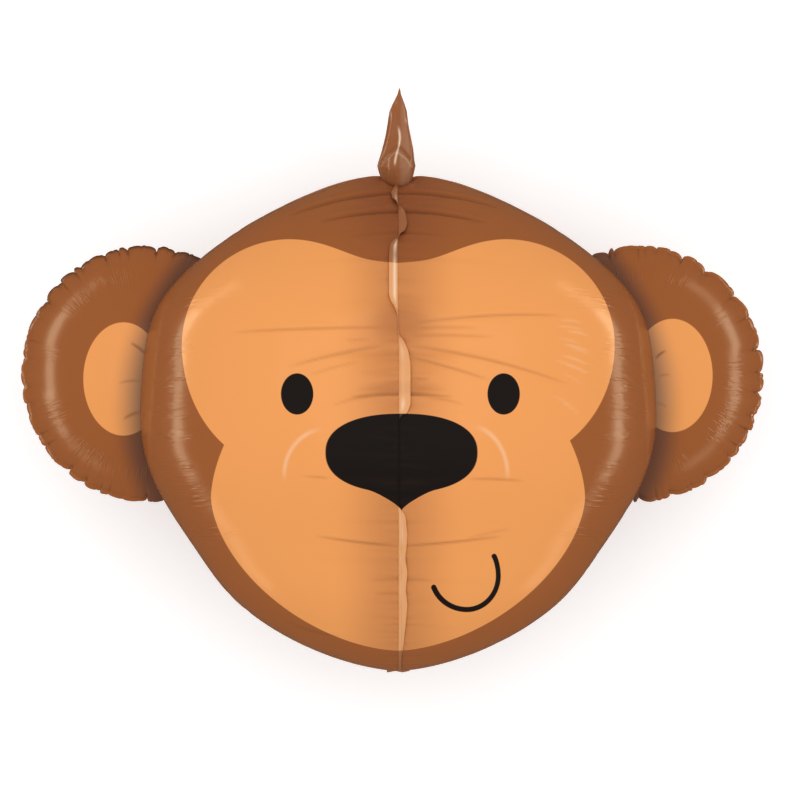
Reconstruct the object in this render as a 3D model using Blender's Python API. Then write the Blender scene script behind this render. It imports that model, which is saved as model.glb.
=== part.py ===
"""An air-filled foil balloon in the shape of a monkey's head, lying on its back with its face up.

Four printed film panels are heat-sealed edge to edge: two in front, two behind. The panels also
carry the ears and the tuft of hair on the crown. Being sealed, the balloon is one closed solid.
+X is the viewer's right, +Y the crown and +Z the face. The floor is at Z = 0.
"""

import math

import bmesh
import bpy
from mathutils import Vector

# Head, in metres. The seal plane holds the side seams and both ears.
HEAD_HEIGHT = 0.5635
HEAD_WIDTH = 0.5875
HEAD_OFFSET = 0.0065  # the head stands this far right of the middle between the ears
FRONT_DEPTH = 0.229
BACK_DEPTH = 0.229
PRESSED_DEPTH = 0.005  # how much of the back the floor flattens
CROWN_PUCKER_DEPTH = 0.016
CROWN_PUCKER_HALF_WIDTH = 0.014
CROWN_PUCKER_HALF_DEPTH = 0.030
CROWN_SLOPE_RADIUS = 0.090  # around the crown the film slopes down towards the face

# Face relief, in metres.
MUZZLE_RISE = 0.022
MUZZLE_HALF_WIDTH = 0.136
MUZZLE_HALF_HEIGHT = 0.104
MUZZLE_DROP = 0.048  # muzzle centre below the middle of the head
BRIDGE_DIP = 0.009
BRIDGE_HALF_WIDTH = 0.080
BRIDGE_HALF_HEIGHT = 0.032
BRIDGE_LIFT = 0.090  # bridge of the nose above the middle of the head

# Ears, in metres.
EAR_HALF_WIDTH = 0.1320
EAR_HALF_HEIGHT = 0.1355
EAR_HALF_DEPTH = 0.072
EAR_INSET = 0.0135  # ear centre inside the widest part of the head
EAR_LIFT = 0.0557  # ear centre above the middle of the head
EAR_RIM_WIDTH = 0.0085
EAR_SCALLOPS = 29
EAR_SCALLOP_DEPTH = 0.0030

# Heat-sealed margins of the panels, in metres. They lie over, almost on the film beside them.
FRONT_MARGIN_WIDTH = 0.018
OTHER_MARGIN_WIDTH = 0.012
MARGIN_THICKNESS = 0.0010
EAR_RIM_THICKNESS = 0.0008
MARGIN_ROOT = 0.0030  # how far a margin starts inside the head
MARGIN_LEAN = math.radians(60)
MARGIN_END_WIDTH = 0.15  # share of its width left where a margin meets the crown or the chin
FRONT_MARGIN_TAPER = 0.10  # share of the seam over which it narrows
OTHER_MARGIN_TAPER = 0.25
FLOPS = 1.9  # how often the front margin changes sides and comes back
RUFFLES = 16  # small waves along the front margin
RUFFLE_LEAN = math.radians(7)

# Tuft of hair on the crown, in metres.
TUFT_LENGTH = 0.1165
TUFT_HALF_WIDTH = 0.0210
TUFT_HALF_DEPTH = 0.0165
TUFT_LEAN = math.radians(9)  # leans towards the face
TUFT_ROOT = 0.0060

# Filling neck, folded back under the chin, in metres.
NECK_WIDTH = 0.026
NECK_LENGTH = 0.044
NECK_THICKNESS = 0.0030
NECK_ROOT = 0.012  # how far it starts inside the head
NECK_LEAN = math.radians(4)  # towards the head
CHIN_OVERHANG = 0.0020  # how far the fold shows beyond the chin

# Shares of the head's own height, width or depth that give it its form.
OUTLINE_SHARES = (0.973, 0.929, 1.020, 1.095, 1.051, 1.021, 0.948, 0.928, 0.816, 0.572)
VALLEY = 0.13  # depth of the valley that each seam pulls into the head
CROWN_SLOPE = 0.35  # drop of that slope for each metre forward
TUFT_PROFILE = ((0.0, 0.20), (0.07, 0.55), (0.17, 0.90), (0.25, 1.0), (0.42, 0.80), (0.62, 0.52),
                (0.80, 0.36), (0.92, 0.20), (1.0, 0.03))

# Mesh divisions.
HEAD_COLUMNS = 56
HEAD_RINGS = 36
EAR_COLUMNS = 60
EAR_RINGS = 5
TUFT_COLUMNS = 12

# The head stands between the chin and the crown; Y = 0 is the middle of the whole balloon.
TUFT_REACH = TUFT_LENGTH * math.cos(TUFT_LEAN) - CROWN_PUCKER_DEPTH
HEAD_MIDDLE_Y = (CHIN_OVERHANG - TUFT_REACH) / 2
SEAL_Z = BACK_DEPTH - PRESSED_DEPTH
CROWN_Y = HEAD_MIDDLE_Y + HEAD_HEIGHT / 2
CHIN_Y = HEAD_MIDDLE_Y - HEAD_HEIGHT / 2
HEAD_MIDDLE = Vector((HEAD_OFFSET, HEAD_MIDDLE_Y, SEAL_Z))
EAR_CENTRE_X = HEAD_WIDTH / 2 - EAR_INSET
EAR_CENTRE_Y = HEAD_MIDDLE_Y + EAR_LIFT
TUFT_ROOT_POINT = Vector((HEAD_OFFSET, CROWN_Y - CROWN_PUCKER_DEPTH, SEAL_Z))


def smooth_through(values, place):
    """Catmull-Rom curve through evenly spaced values, with place from 0 to 1."""
    spans = len(values) - 1
    along = min(max(place, 0.0), 1.0) * spans
    span = min(int(along), spans - 1)
    t = along - span
    before = values[span - 1] if span > 0 else 2 * values[0] - values[1]
    after = values[span + 2] if span + 2 <= spans else 2 * values[-1] - values[-2]
    start, end = values[span], values[span + 1]
    return 0.5 * (2 * start + (end - before) * t
                  + (2 * before - 5 * start + 4 * end - after) * t ** 2
                  + (3 * start - before - 3 * end + after) * t ** 3)


def linear_through(stations, place):
    """Straight-line reading of (place, value) stations."""
    for (low, a), (high, b) in zip(stations, stations[1:]):
        if place <= high:
            return a + (b - a) * (place - low) / (high - low)
    return stations[-1][1]


def soft_hill(distance):
    """1 on top of a hill and 0 from distance 1.3 outwards, with a rounded shoulder."""
    edge = 1.3
    return 0.5 + 0.5 * math.cos(math.pi * min(distance / edge, 1.0)) if distance < edge else 0.0


def lobe(angle):
    """Reach of the four-lobed cross-section, with a valley at each quarter turn."""
    return 1 - VALLEY + VALLEY * abs(math.sin(2 * angle))


def outline(down):
    """Width of the head from the crown, where down is 0, to the chin, where it is 1."""
    return math.sin(math.pi * down) * smooth_through(OUTLINE_SHARES, down)


# Greatest reach of the cross-section sideways, and of the outline, at the mesh's own points.
COLUMN_ANGLES = [2 * math.pi * column / HEAD_COLUMNS for column in range(HEAD_COLUMNS)]
LOBE_CREST = max(lobe(angle) * math.sin(angle) for angle in COLUMN_ANGLES)
OUTLINE_CREST = max(outline(ring / HEAD_RINGS) for ring in range(HEAD_RINGS))


def head_point(down, angle):
    """Point of the head's film: down is 0 at the crown and 1 at the chin, angle 0 faces front."""
    reach = outline(down) * lobe(angle) / (OUTLINE_CREST * LOBE_CREST)
    depth = FRONT_DEPTH if math.cos(angle) > 0 else BACK_DEPTH
    x = HEAD_WIDTH / 2 * reach * math.sin(angle)
    z = depth * reach * math.cos(angle)
    y = HEAD_MIDDLE_Y + HEAD_HEIGHT / 2 * math.cos(math.pi * down)
    if down < 0.5:
        y -= crown_drop(x, z)
    if z > 0:
        z += face_relief(x, y - HEAD_MIDDLE_Y) * min(1.0, z / (0.4 * FRONT_DEPTH))
    return Vector((HEAD_OFFSET + x, y, max(SEAL_Z + z, 0.0)))


def crown_drop(x, z):
    """How far the pucker at the tuft's root and the slope in front of it lower the crown."""
    pucker = math.hypot(x / CROWN_PUCKER_HALF_WIDTH, z / CROWN_PUCKER_HALF_DEPTH)
    slope = CROWN_SLOPE * max(z, 0.0) * math.exp(-(x * x + z * z) / CROWN_SLOPE_RADIUS ** 2)
    return CROWN_PUCKER_DEPTH * math.exp(-pucker * pucker) + slope


def face_relief(x, y):
    """Height of the muzzle, and the dip above it, over the plain front of the head."""
    muzzle = math.hypot(x / MUZZLE_HALF_WIDTH, (y + MUZZLE_DROP) / MUZZLE_HALF_HEIGHT)
    bridge = math.hypot(x / BRIDGE_HALF_WIDTH, (y - BRIDGE_LIFT) / BRIDGE_HALF_HEIGHT)
    return MUZZLE_RISE * soft_hill(muzzle) - BRIDGE_DIP * soft_hill(bridge)


def closed_rings(name, rings, first_point=None, last_point=None):
    """Mesh object through rings of points, its ends closed by a fan to a point or by one face."""
    vertices = [tuple(point) for ring in rings for point in ring]
    count = len(rings[0])
    faces = []
    for row in range(len(rings) - 1):
        for column in range(count):
            following = (column + 1) % count
            faces.append((row * count + column, (row + 1) * count + column,
                          (row + 1) * count + following, row * count + following))
    last = (len(rings) - 1) * count
    for tip, start, step in ((first_point, 0, 1), (last_point, last, -1)):
        edge = [start + column for column in range(count)][::step]
        if tip is None:
            faces.append(tuple(edge))
            continue
        vertices.append(tuple(tip))
        faces += [(len(vertices) - 1, edge[i], edge[(i + 1) % count]) for i in range(count)]
    mesh = bpy.data.meshes.new(name)
    mesh.from_pydata(vertices, [], faces)
    whole = bmesh.new()
    whole.from_mesh(mesh)
    bmesh.ops.recalc_face_normals(whole, faces=whole.faces)
    bmesh.ops.triangulate(whole, faces=whole.faces)
    whole.to_mesh(mesh)
    whole.free()
    made = bpy.data.objects.new(name, mesh)
    bpy.context.collection.objects.link(made)
    return made


def head():
    """The four panels as one bag, from crown to chin."""
    rings = [[head_point(ring / HEAD_RINGS, angle) for angle in COLUMN_ANGLES]
             for ring in range(1, HEAD_RINGS)]
    return closed_rings("balloon_envelope", rings, head_point(0.0, 0.0), head_point(1.0, 0.0))


def scallop(angle):
    """How far the gathered rim of an ear falls short of its full reach, from 0 to 1."""
    phase = EAR_SCALLOPS * angle / 2 + 0.8 * math.sin(3 * angle + 0.6) + 0.5 * math.sin(5 * angle)
    return 1 - abs(math.sin(phase)) ** 0.6


def pillow_height(reach):
    """Height of a puffed foil disc over its seal, from 1 in the middle to 0 at the edge."""
    return math.sqrt(max(0.0, 1 - reach ** 2.6))


def ear(name, side):
    """A puffed disc with a flat, gathered rim; its inner part lies inside the head."""
    half = EAR_RIM_THICKNESS / 2
    rings = []
    for step in range(1, 2 * EAR_RINGS + 3):
        front = step <= EAR_RINGS + 1
        count = step if front else 2 * EAR_RINGS + 3 - step
        reach = min(math.sin(math.pi / 2 * count / EAR_RINGS), 1.0) if count <= EAR_RINGS else 1.0
        rim = EAR_RIM_WIDTH if count > EAR_RINGS else 0.0
        z = max(EAR_HALF_DEPTH * pillow_height(reach), half) * (1 if front else -1)
        ring = []
        for column in range(EAR_COLUMNS):
            angle = 2 * math.pi * column / EAR_COLUMNS
            gather = EAR_SCALLOP_DEPTH * scallop(angle) * reach ** 6
            x = (EAR_HALF_WIDTH * reach + rim - gather) * math.cos(angle)
            y = (EAR_HALF_HEIGHT * reach + rim - gather) * math.sin(angle)
            ring.append(Vector((side * (EAR_CENTRE_X + x), EAR_CENTRE_Y + y, SEAL_Z + z)))
        rings.append(ring if side > 0 else ring[::-1])
    middle = Vector((side * EAR_CENTRE_X, EAR_CENTRE_Y, SEAL_Z))
    depth = Vector((0, 0, EAR_HALF_DEPTH))
    return closed_rings(name, rings, middle + depth, middle - depth)


def margin_width(width, point, taper):
    """Width of a margin: it narrows towards the crown and towards the chin."""
    share = math.acos(max(-1.0, min(1.0, 2 * (point.y - HEAD_MIDDLE_Y) / HEAD_HEIGHT))) / math.pi
    near = min((min(share, 1 - share) - 1 / HEAD_RINGS) / taper, 1.0)
    return width * (MARGIN_END_WIDTH + (1 - MARGIN_END_WIDTH) * max(near, 0.0))


def margin(name, stations, across, width, taper, lean):
    """Flat sealed margin along a seam: lean(place) tips it from upright towards across."""
    rings = []
    for index, point in enumerate(stations):
        place = index / (len(stations) - 1)
        before = stations[max(index - 1, 0)]
        after = stations[min(index + 1, len(stations) - 1)]
        out = across.cross(after - before).normalized()
        if out.dot(point - HEAD_MIDDLE) < 0:
            out = -out
        tip = lean(place)
        reach = out * math.cos(tip) + across * math.sin(tip)
        thick = (across * math.cos(tip) - out * math.sin(tip)) * MARGIN_THICKNESS / 2
        root = point - out * MARGIN_ROOT
        edge = point + reach * margin_width(width, point, taper)
        ring = [root - thick, root + thick, edge + thick, edge - thick]
        rings.append([Vector((p.x, p.y, max(p.z, 0.0))) for p in ring])
    return closed_rings(name, rings)


def seam_line(angle, start=1, end=HEAD_RINGS - 1):
    """Points of the head along one seam, at the same rings as the head itself."""
    return [head_point(ring / HEAD_RINGS, angle) for ring in range(start, end + 1)]


def front_lean(place):
    """The front margin flops left and right by turns, with small ruffles."""
    flop = 2.2 * math.sin(2 * math.pi * (FLOPS * place ** 0.8 + 0.05))
    ruffle = RUFFLE_LEAN * math.sin(2 * math.pi * RUFFLES * place)
    return MARGIN_LEAN * max(-1.0, min(1.0, flop)) + ruffle


def back_lean(place):
    """The other margins lie over to one side all the way."""
    return MARGIN_LEAN


def in_ear(point):
    """Whether a point of the seal plane lies within an ear."""
    x = (abs(point.x) - EAR_CENTRE_X) / (EAR_HALF_WIDTH + EAR_RIM_WIDTH)
    y = (point.y - EAR_CENTRE_Y) / (EAR_HALF_HEIGHT + EAR_RIM_WIDTH)
    return math.hypot(x, y) < 1


def margins():
    """Sealed margins down the front and the back, and down both sides as far as the ears."""
    right = Vector((1, 0, 0))
    behind = Vector((0, 0, -1))
    made = [margin("front_margin", seam_line(0.0), right, FRONT_MARGIN_WIDTH, FRONT_MARGIN_TAPER,
                   front_lean),
            margin("back_margin", seam_line(math.pi), right, OTHER_MARGIN_WIDTH, OTHER_MARGIN_TAPER,
                   back_lean)]
    for side, word in ((1, "right"), (-1, "left")):
        angle = side * math.pi / 2
        hidden = [ring for ring in range(1, HEAD_RINGS) if in_ear(head_point(ring / HEAD_RINGS, angle))]
        for place, line in (("above", seam_line(angle, end=hidden[0])),
                            ("below", seam_line(angle, start=hidden[-1]))):
            made.append(margin(f"{word}_margin_{place}", line, behind, OTHER_MARGIN_WIDTH,
                               OTHER_MARGIN_TAPER, back_lean))
    return made


def tuft():
    """Four-sided spike of film, pinched where it leaves the crown."""
    along = Vector((0, math.cos(TUFT_LEAN), math.sin(TUFT_LEAN)))
    ahead = Vector((0, -math.sin(TUFT_LEAN), math.cos(TUFT_LEAN)))
    rings = []
    for place, share in TUFT_PROFILE:
        centre = TUFT_ROOT_POINT + along * (TUFT_LENGTH * place - TUFT_ROOT * (1 - place))
        ring = []
        for column in range(TUFT_COLUMNS):
            angle = 2 * math.pi * column / TUFT_COLUMNS
            diamond = (abs(math.cos(angle)) ** 1.3 + abs(math.sin(angle)) ** 1.3) ** (-1 / 1.3)
            ring.append(centre + Vector((TUFT_HALF_WIDTH * share * diamond * math.sin(angle), 0, 0))
                        + ahead * (TUFT_HALF_DEPTH * share * diamond * math.cos(angle)))
        rings.append(ring[::-1])
    return closed_rings("tuft", rings)


def neck():
    """Flat filling neck: it leaves the chin in the seal plane and folds back at once."""
    half = NECK_THICKNESS / 2
    fold = Vector((HEAD_OFFSET, CHIN_Y - CHIN_OVERHANG + half, SEAL_Z))
    down = Vector((0, math.sin(NECK_LEAN), -math.cos(NECK_LEAN)))
    outside = Vector((0, -math.cos(NECK_LEAN), -math.sin(NECK_LEAN)))
    rings = []
    for centre, thick in ((Vector((HEAD_OFFSET, CHIN_Y + NECK_ROOT, SEAL_Z)), Vector((0, 0, half))),
                          (fold, Vector((0, -half, half))),
                          (fold + down * NECK_LENGTH, outside * half)):
        side = Vector((NECK_WIDTH / 2, 0, 0))
        rings.append([centre - side - thick, centre + side - thick,
                      centre + side + thick, centre - side + thick])
    return closed_rings("neck", rings)


def printed_film():
    """Satin plastic film with a brown print."""
    material = bpy.data.materials.new("printed_film")
    material.use_nodes = True
    shader = material.node_tree.nodes["Principled BSDF"]
    shader.inputs["Base Color"].default_value = (0.319, 0.105, 0.036, 1)
    shader.inputs["Roughness"].default_value = 0.34
    shader.inputs["Metallic"].default_value = 0.0
    return material


def seal_together(body, pieces):
    """Joins each piece to the body, as the heat seal does, and hides the piece."""
    for piece in pieces:
        piece.hide_render = True
        piece.display_type = "WIRE"
        join = body.modifiers.new("seal_" + piece.name, "BOOLEAN")
        join.operation = "UNION"
        join.solver = "EXACT"
        join.object = piece


def main():
    for old in list(bpy.data.objects):
        bpy.data.objects.remove(old)
    body = head()
    body.data.materials.append(printed_film())
    body.data.shade_smooth()
    seal_together(body, [ear("right_ear", 1), ear("left_ear", -1), *margins(), tuft(), neck()])


main()
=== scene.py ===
"""Monkey's head foil balloon lying on its back on a pale floor, seen from above.

Lengths are in metres. Places on the face are given on a drawing grid, whose x runs to the right and
whose y runs down.
"""

import math

import bpy
import numpy as np
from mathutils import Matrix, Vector


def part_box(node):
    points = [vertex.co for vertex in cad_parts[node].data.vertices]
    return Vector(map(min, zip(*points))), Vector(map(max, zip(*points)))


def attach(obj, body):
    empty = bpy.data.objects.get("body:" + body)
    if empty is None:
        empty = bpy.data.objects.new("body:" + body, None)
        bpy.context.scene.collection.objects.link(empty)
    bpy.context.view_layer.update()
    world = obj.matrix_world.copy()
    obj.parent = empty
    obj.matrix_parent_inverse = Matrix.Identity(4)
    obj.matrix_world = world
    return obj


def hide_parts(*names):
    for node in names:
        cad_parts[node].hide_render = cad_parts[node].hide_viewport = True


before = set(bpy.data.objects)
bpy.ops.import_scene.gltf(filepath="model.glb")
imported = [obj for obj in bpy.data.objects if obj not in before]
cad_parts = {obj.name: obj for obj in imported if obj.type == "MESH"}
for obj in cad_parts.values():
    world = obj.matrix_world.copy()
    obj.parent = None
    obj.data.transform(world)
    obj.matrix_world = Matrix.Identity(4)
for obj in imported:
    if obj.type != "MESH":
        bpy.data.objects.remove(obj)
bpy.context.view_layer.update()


# Head film: four printed foil panels, sealed edge to edge down the front, the back and the sides.
# Inflation puckers the film into short cross-wrinkles along every seal, and a few long creases
# run out from the front one. The muzzle stands forward a little, with a shallow dip above it.

box_low, box_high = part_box("balloon_envelope")
EARS_APART = 739  # on the drawing, from the outer edge of one ear to that of the other
DRAWING_MIDDLE = (392.5, 380)
UNIT = (box_high.x - box_low.x) / EARS_APART
HEAD_HALF_HEIGHT = 0.28175
HEAD_HALF_WIDTH = 0.29375
HEAD_DEPTH = 0.229
HEAD_MIDDLE_X = 0.0065
HEAD_MIDDLE_Y = -0.0485
SEAL_Z = 0.224
VALLEY = 0.13
OUTLINE_SHARES = np.array([0.973, 0.929, 1.020, 1.095, 1.051, 1.021, 0.948, 0.928, 0.816, 0.572])
CROWN_PUCKER = 0.009
CROWN_PUCKER_HALF_WIDTH = 0.014
CROWN_PUCKER_HALF_DEPTH = 0.030
CROWN_SLOPE = 0.35
CROWN_SLOPE_RADIUS = 0.090
MUZZLE_RISE = 0.022
MUZZLE_HALF_WIDTH = 0.136
MUZZLE_HALF_HEIGHT = 0.104
MUZZLE_DROP = 0.048
BRIDGE_DIP = 0.009
BRIDGE_HALF_WIDTH = 0.080
BRIDGE_HALF_HEIGHT = 0.032
BRIDGE_LIFT = 0.090
RELIEF_RAMP = 0.4  # share of the depth over which the muzzle and the bridge reach their full height
RINGS = 420
RING_CROWDING = 0.35  # how much the rings crowd towards the crown and the chin
FRONT_COLUMNS = 150
BACK_COLUMNS = 70
FILM_THICKNESS = 0.0004
SEED = 20
luck = np.random.default_rng(SEED)


def x_of(across):
    """X in the row frame of a distance across the drawing."""
    return (across - DRAWING_MIDDLE[0]) * UNIT


def y_of(down):
    """Y in the row frame of a distance down the drawing."""
    return (DRAWING_MIDDLE[1] - down) * UNIT


def spot(across, down):
    """X and Y in the row frame of a place on the drawing."""
    return x_of(across), y_of(down)


def down_the_drawing(y):
    """Distance down the drawing of a Y in the row frame."""
    return DRAWING_MIDDLE[1] - y / UNIT


def smooth_step(low, high, value):
    """0 below low, 1 above high and an even rise between them."""
    t = np.clip((value - low) / (high - low), 0, 1)
    return t * t * (3 - 2 * t)


def curve_through(values, place):
    """Catmull-Rom curve through evenly spaced values, read at places from 0 to 1."""
    padded = np.concatenate([[2 * values[0] - values[1]], values, [2 * values[-1] - values[-2]]])
    along = np.clip(place, 0, 1) * (len(values) - 1)
    span = np.minimum(along.astype(int), len(values) - 2)
    t = along - span
    a, b, c, d = (padded[span + step] for step in range(4))
    return 0.5 * (2 * b + (c - a) * t + (2 * a - 5 * b + 4 * c - d) * t ** 2
                  + (3 * b - a - 3 * c + d) * t ** 3)


HILL_FOOT = 1.3


def soft_hill(distance):
    """1 on top of a hill, and 0 from its foot outwards."""
    return 0.5 + 0.5 * np.cos(np.pi * np.minimum(distance / HILL_FOOT, 1))


def lobe(angle):
    """Reach of the cross-section, with a valley at each of the four seals."""
    return 1 - VALLEY + VALLEY * np.abs(np.sin(2 * angle))


def outline(down):
    """Width of the head from the crown to the chin."""
    return np.sin(np.pi * down) * curve_through(OUTLINE_SHARES, down)


half_turn = np.linspace(0, np.pi, 721)
lobe_crest = (lobe(half_turn) * np.sin(half_turn)).max()
outline_crest = outline(np.linspace(0, 1, 721)).max()


def head_surface(down, angle):
    """Smooth film of the head, as an array of points: angle 0 faces the viewer."""
    down, angle = np.broadcast_arrays(down, angle)
    reach = outline(down) * lobe(angle) / (outline_crest * lobe_crest)
    x = HEAD_HALF_WIDTH * reach * np.sin(angle)
    z = HEAD_DEPTH * reach * np.cos(angle)
    y = HEAD_MIDDLE_Y + HEAD_HALF_HEIGHT * np.cos(np.pi * down)
    pucker = CROWN_PUCKER * np.exp(-(x / CROWN_PUCKER_HALF_WIDTH) ** 2
                                   - (z / CROWN_PUCKER_HALF_DEPTH) ** 2)
    slope = CROWN_SLOPE * np.maximum(z, 0) * np.exp(-(x ** 2 + z ** 2) / CROWN_SLOPE_RADIUS ** 2)
    y = y - (down < 0.5) * (pucker + slope)
    above = y - HEAD_MIDDLE_Y
    muzzle = np.hypot(x / MUZZLE_HALF_WIDTH, (above + MUZZLE_DROP) / MUZZLE_HALF_HEIGHT)
    bridge = np.hypot(x / BRIDGE_HALF_WIDTH, (above - BRIDGE_LIFT) / BRIDGE_HALF_HEIGHT)
    relief = MUZZLE_RISE * soft_hill(muzzle) - BRIDGE_DIP * soft_hill(bridge)
    z = z + relief * np.clip(z / (RELIEF_RAMP * HEAD_DEPTH), 0, 1)
    return np.stack([HEAD_MIDDLE_X + x, y, SEAL_Z + z], axis=-1)


HEAD_MIDDLE = np.array([HEAD_MIDDLE_X, HEAD_MIDDLE_Y, SEAL_Z])


def grid_normals(points, inside):
    """Unit normals of a grid of points, turned away from a point inside."""
    across = np.gradient(points, axis=1)
    along = np.gradient(points, axis=0)
    normals = np.cross(across, along)
    normals /= np.linalg.norm(normals, axis=-1, keepdims=True) + 1e-12
    flip = np.sign((normals * (points - inside)).sum(-1, keepdims=True))
    return normals * np.where(flip == 0, 1, flip)


# How much the cross-wrinkles of a seal differ from one another, as shares of their usual size.
SPACING_SPREAD = (0.5, 1.5)
REACH_SPREAD = (0.35, 1.6)
DEPTH_SPREAD = (0.3, 1.3)
WIDTH_SPREAD = (0.7, 1.4)
SLANT_SPREAD = (-0.18, 0.18)
SMOOTH_AT_CROWN = 0.012
SMOOTH_AT_CHIN = 0.01
WRINKLE_WINDOW = 0.03  # beyond this distance along the seal a wrinkle is too faint to work out


def wrinkle_set(length, spacing, reach, depth, width):
    """Random cross-wrinkles along a seal: place, reach to each side, depth, half-width and slant."""
    places = []
    place = SMOOTH_AT_CROWN
    while place < length - SMOOTH_AT_CHIN:
        places.append((place, reach * luck.uniform(*REACH_SPREAD), reach * luck.uniform(*REACH_SPREAD),
                       depth * luck.uniform(*DEPTH_SPREAD), width * luck.uniform(*WIDTH_SPREAD),
                       luck.uniform(*SLANT_SPREAD)))
        place += spacing * luck.uniform(*SPACING_SPREAD)
    return places


def seal_wrinkles(along, aside, wrinkles):
    """Depth of the wrinkles at points given by distance along a seal and signed distance from it."""
    total = np.zeros(np.broadcast(along, aside).shape)
    for place, left, right, depth, width, slant in wrinkles:
        near = np.where(np.abs(along - place) < WRINKLE_WINDOW)[0]
        if len(near) == 0:
            continue
        rows = slice(near[0], near[-1] + 1)
        off = aside[rows]
        reach = np.where(off > 0, right, left)
        fade = np.clip(1 - np.abs(off) / reach, 0, 1) ** 1.3
        gap = along[rows] - place - slant * np.abs(off)
        wide = width * (1 + np.abs(off) / reach)
        total[rows] += depth * fade * np.exp(-(gap / wide) ** 2)
    return total


def crease(x, y, start, end, bow, width):
    """How far along and how deep in a long crease between two drawing places each point lies."""
    (x0, y0), (x1, y1) = spot(*start), spot(*end)
    length = math.hypot(x1 - x0, y1 - y0)
    ux, uy = (x1 - x0) / length, (y1 - y0) / length
    along = ((x - x0) * ux + (y - y0) * uy) / length
    off = ((y - y0) * ux - (x - x0) * uy - bow * UNIT * 4 * along * (1 - along)) / width
    fade = np.sqrt(np.clip(4 * along * (1 - along), 0, 1)) * (along > 0) * (along < 1)
    return fade, off


def piece_from_grid(name, points, closed_ends, marks=None):
    """Closed mesh from rows of points that wrap round; its ends close to a point or by one face.
    marks holds named numbers for each point, and the film's material reads them."""
    rows, columns = points.shape[:2]
    index = np.arange(rows * columns).reshape(rows, columns)
    quads = np.stack([index[:-1], np.roll(index[:-1], -1, 1), np.roll(index[1:], -1, 1), index[1:]], -1)
    faces = quads.reshape(-1, 4).tolist()
    vertices = points.reshape(-1, 3).tolist()
    for edge, tip in ((index[0][::-1], closed_ends[0]), (index[-1], closed_ends[1])):
        if tip is None:
            faces.append(edge.tolist())
        else:
            vertices.append(list(tip))
            faces += [[len(vertices) - 1, edge[i - 1], edge[i]] for i in range(columns)]
    mesh = bpy.data.meshes.new(name)
    mesh.from_pydata(vertices, [], faces)
    mesh.update()
    corners = np.array(vertices)
    quad = corners[quads.reshape(-1, 4)]
    volume = np.einsum("ij,ij->i", quad[:, 0], np.cross(quad[:, 1], quad[:, 2])).sum()
    volume += np.einsum("ij,ij->i", quad[:, 0], np.cross(quad[:, 2], quad[:, 3])).sum()
    if volume < 0:
        mesh.flip_normals()
    mesh.shade_smooth()
    for label, values in (marks or {}).items():
        shades = np.zeros(len(vertices), np.float32)
        shades[:rows * columns] = np.broadcast_to(values, (rows, columns)).ravel()
        mesh.attributes.new(label, "FLOAT", "POINT").data.foreach_set("value", shades)
    piece = bpy.data.objects.new(name, mesh)
    bpy.context.collection.objects.link(piece)
    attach(piece, "root")
    return piece


def linear(red, green, blue):
    """Screen colour from 0 to 255 as a linear colour."""
    shares = [value / 255 for value in (red, green, blue)]
    return [s / 12.92 if s <= 0.04045 else ((s + 0.055) / 1.055) ** 2.4 for s in shares] + [1.0]


# Colours of the print, and of painted light: painted shade beside the seals, at the ears' roots and in
# folds, painted highlights, and a pale tone for the margins that is partly the back of the sealed film and
# partly painted sheen.
TAN = linear(234, 155, 88)
TAN_SHADE = linear(196, 126, 75)
TAN_ROOT_SHADE = linear(146, 107, 78)
BROWN = linear(153, 89, 47)
BROWN_SHADE = linear(138, 77, 45)
BROWN_ROOT_SHADE = linear(110, 71, 53)
INK = linear(26, 19, 16)
FOLD_SHADE = linear(84, 48, 30)
GLINT = linear(250, 224, 196)
PALE_BACK_AND_SHEEN = linear(240, 201, 156)


class Nodes:
    """Short names for the nodes of one tree."""

    def __init__(self, tree):
        self.tree = tree

    def make(self, kind, inputs=(), **settings):
        node = self.tree.nodes.new(kind)
        for key, value in settings.items():
            setattr(node, key, value)
        for key, value in dict(inputs).items():
            if isinstance(value, bpy.types.NodeSocket):
                self.tree.links.new(value, node.inputs[key])
            else:
                node.inputs[key].default_value = value
        return node

    def math(self, operation, *values, clamp=False):
        node = self.make("ShaderNodeMath", dict(enumerate(values)), operation=operation, use_clamp=clamp)
        return node.outputs[0]

    def mix(self, factor, first, second):
        node = self.make("ShaderNodeMix", {0: factor, 6: first, 7: second}, data_type="RGBA")
        return node.outputs[2]

    def step(self, value, low, high):
        node = self.make("ShaderNodeMapRange", {0: value, 1: low, 2: high, 3: 0.0, 4: 1.0},
                         interpolation_type="SMOOTHSTEP")
        return node.outputs[0]

    def ellipse(self, x, y, centre, half_x, half_up, half_down, power=2.0):
        """Signed distance, roughly in metres, from an oval with its own upper and lower heights."""
        cx, cy = spot(*centre)
        off_x = self.math("DIVIDE", self.math("SUBTRACT", x, cx), half_x * UNIT)
        off_y = self.math("SUBTRACT", y, cy)
        up = self.math("DIVIDE", self.math("MAXIMUM", off_y, 0.0), half_up * UNIT)
        down = self.math("DIVIDE", self.math("MAXIMUM", self.math("MULTIPLY", off_y, -1.0), 0.0),
                         half_down * UNIT)
        parts = [self.math("POWER", self.math("ABSOLUTE", off_x), power),
                 self.math("POWER", self.math("ADD", up, down), power)]
        reach = self.math("POWER", self.math("ADD", *parts), 1 / power)
        return self.math("MULTIPLY", self.math("SUBTRACT", reach, 1.0), min(half_x, half_up) * UNIT)


def new_group(name, inputs, outputs):
    """Empty node group with the given sockets."""
    group = bpy.data.node_groups.new(name, "ShaderNodeTree")
    for label, kind in inputs:
        group.interface.new_socket(label, in_out="INPUT", socket_type=kind)
    for label, kind in outputs:
        group.interface.new_socket(label, in_out="OUTPUT", socket_type=kind)
    return group


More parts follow.
